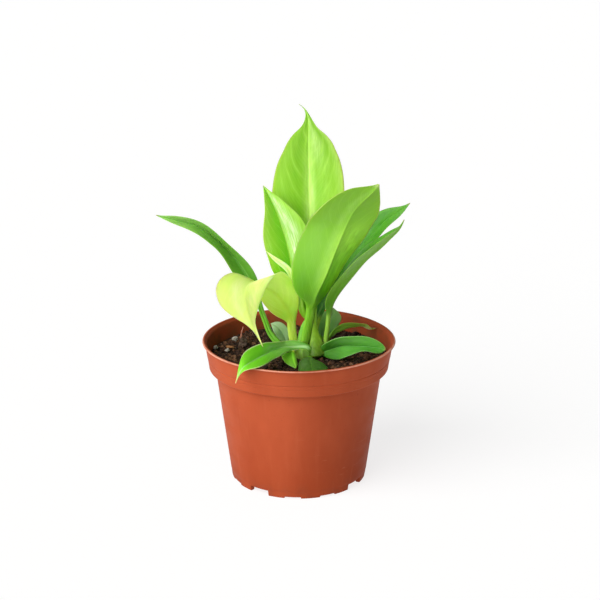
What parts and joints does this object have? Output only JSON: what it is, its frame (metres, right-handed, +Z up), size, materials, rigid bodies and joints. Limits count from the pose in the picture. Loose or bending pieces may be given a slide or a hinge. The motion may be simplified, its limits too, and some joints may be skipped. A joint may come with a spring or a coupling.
{
  "type": "potted plant",
  "caption": "Small lime-leaved moonlight philodendron growing in dark potting mix in a round terracotta-coloured plastic nursery pot.",
  "frame": {"origin": "centre of the pot's underside, on the ground and on the pot's axis", "axes": "+Z up along the pot's axis, +X to the viewer's right and +Y away from the viewer in the pictured view"},
  "size_m": [0.137, 0.1058, 0.204],
  "materials": {
    "pot_plastic": "satin injection-moulded terracotta-coloured plastic",
    "potting_mix": "damp dark peat and bark crumbs",
    "crown_stem": "smooth waxy stem tissue",
    "leaf_lime": "waxy lime-green leaf, lightly translucent",
    "leaf_new": "soft pale yellow new leaf, translucent",
    "leaf_green": "glossy mature green leaf",
    "perlite": "porous dusty grain",
    "bark": "rough composted bark"
  },
  "bodies": {
    "root": {"nursery_pot": "pot_plastic", "potting_mix": "potting_mix", "crown": "crown_stem", "leaf_tall_back": "leaf_lime", "leaf_folded_left": "leaf_lime", "bract_pointed": "leaf_new", "leaf_new_drooping": "leaf_new", "leaf_large_front": "leaf_lime", "leaf_dark_right": "leaf_green", "leaf_narrow_right": "leaf_green", "leaf_long_left": "leaf_green", "leaf_low_front_left": "leaf_green", "leaf_low_right": "leaf_green", "leaf_curled_back_right": "leaf_green", "leaf_small_back_right": "leaf_green", "leaf_small_back_left": "leaf_green", "leaf_small_front": "leaf_green", "sheath_front": "leaf_lime", "leaf_small_front_left": "leaf_green", "perlite_large": "perlite", "perlite_left": "perlite", "perlite_front": "perlite", "bark_chip": "bark", "bark_lump": "bark", "twig_pale": "bark"}
  },
  "joints": []
}
